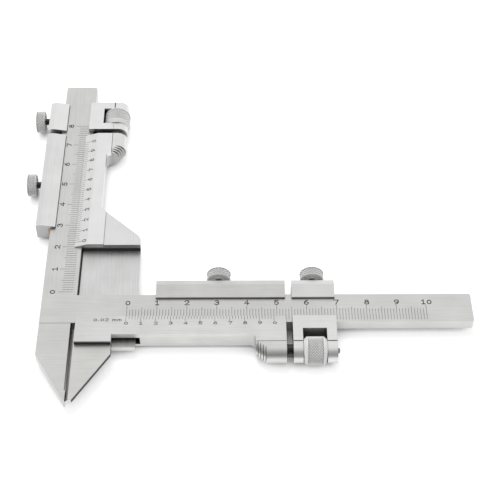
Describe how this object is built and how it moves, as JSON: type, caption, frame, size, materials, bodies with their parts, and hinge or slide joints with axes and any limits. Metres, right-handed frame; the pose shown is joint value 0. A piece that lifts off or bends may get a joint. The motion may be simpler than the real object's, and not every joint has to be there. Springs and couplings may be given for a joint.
{
  "type": "gear tooth caliper",
  "caption": "Vernier gear tooth caliper: L shaped graduated frame with a fixed jaw, a sliding jaw, a height blade, and fine feed carriages with knurled nuts and lock screws.",
  "frame": {"origin": "middle of the plan outline, on the surface that the caliper lies on, at the lowest point of the feed nuts", "axes": "+X along the thickness beam away from the fixed jaw, +Y along the height beam away from the jaw tips, +Z out of the graduated faces"},
  "size_m": [0.1544, 0.145, 0.0096],
  "materials": {
    "frame_steel": "fine brushed, satin",
    "slider_steel": "fine brushed, satin",
    "plate_steel": "fine brushed, satin",
    "blade_steel": "ground, satin",
    "knob_steel": "straight knurled, nickel plated",
    "nut_steel": "diamond knurled, nickel plated",
    "stud_steel": "blackened thread",
    "screw_steel": "turned, slotted",
    "gib_bronze": "dull bronze"
  },
  "bodies": {
    "frame": {"main_frame": "frame_steel"},
    "thickness_slider_body": {"thickness_slider": "slider_steel", "thickness_vernier_plate": "plate_steel", "thickness_gib": "gib_bronze", "thickness_feed_screw": "stud_steel", "thickness_plate_screws": "screw_steel"},
    "thickness_lock": {"thickness_lock_screw": "knob_steel"},
    "thickness_carriage_body": {"thickness_carriage": "slider_steel", "thickness_carriage_plate": "plate_steel", "thickness_carriage_gib": "gib_bronze", "thickness_carriage_screws": "screw_steel"},
    "thickness_clamp": {"thickness_clamp_screw": "knob_steel"},
    "thickness_nut": {"thickness_feed_nut": "nut_steel"},
    "height_slider_body": {"height_slider": "slider_steel", "height_vernier_plate": "plate_steel", "height_gib": "gib_bronze", "height_feed_screw": "stud_steel", "height_plate_screws": "screw_steel", "height_blade": "blade_steel", "blade_screws": "screw_steel"},
    "height_lock": {"height_lock_screw": "knob_steel"},
    "height_carriage_body": {"height_carriage": "slider_steel", "height_carriage_plate": "plate_steel", "height_carriage_gib": "gib_bronze", "height_carriage_screws": "screw_steel"},
    "height_clamp": {"height_clamp_screw": "knob_steel"},
    "height_nut": {"height_feed_nut": "nut_steel"}
  },
  "joints": [
    {"name": "thickness_slide", "type": "slide", "parent": "frame", "child": "thickness_slider_body", "axis": [1, 0, 0], "range_m": [0, 0.044]},
    {"name": "thickness_lock_turn", "type": "hinge", "parent": "thickness_slider_body", "child": "thickness_lock", "pos_m": [-0.00763, -0.0224, 0.0048], "axis": [0, 1, 0], "range_deg": [0, 540]},
    {"name": "thickness_feed_slide", "type": "slide", "parent": "thickness_slider_body", "child": "thickness_carriage_body", "axis": [1, 0, 0], "range_m": [-0.0015, 0.0015]},
    {"name": "thickness_clamp_turn", "type": "hinge", "parent": "thickness_carriage_body", "child": "thickness_clamp", "pos_m": [0.02413, -0.0224, 0.0048], "axis": [0, 1, 0], "range_deg": [0, 540]},
    {"name": "thickness_nut_turn", "type": "hinge", "parent": "thickness_carriage_body", "child": "thickness_nut", "pos_m": [0.02407, -0.0527, 0.0048], "axis": [1, 0, 0], "range_deg": [-1080, 1080]},
    {"name": "height_slide", "type": "slide", "parent": "frame", "child": "height_slider_body", "axis": [0, 1, 0], "range_m": [-0.0205, 0.0085]},
    {"name": "height_lock_turn", "type": "hinge", "parent": "height_slider_body", "child": "height_lock", "pos_m": [-0.07493, 0.02196, 0.0048], "axis": [-1, 0, 0], "range_deg": [0, 540]},
    {"name": "height_feed_slide", "type": "slide", "parent": "height_slider_body", "child": "height_carriage_body", "axis": [0, 1, 0], "range_m": [-0.0015, 0.0015]},
    {"name": "height_clamp_turn", "type": "hinge", "parent": "height_carriage_body", "child": "height_clamp", "pos_m": [-0.07493, 0.05505, 0.0048], "axis": [-1, 0, 0], "range_deg": [0, 540]},
    {"name": "height_nut_turn", "type": "hinge", "parent": "height_carriage_body", "child": "height_nut", "pos_m": [-0.04662, 0.055, 0.0048], "axis": [0, 1, 0], "range_deg": [-1080, 1080]}
  ],
  "couplings": [
    {"joint": "thickness_nut_turn", "follows": "thickness_feed_slide", "rad_per_m": 12566},
    {"joint": "height_nut_turn", "follows": "height_feed_slide", "rad_per_m": 12566}
  ]
}
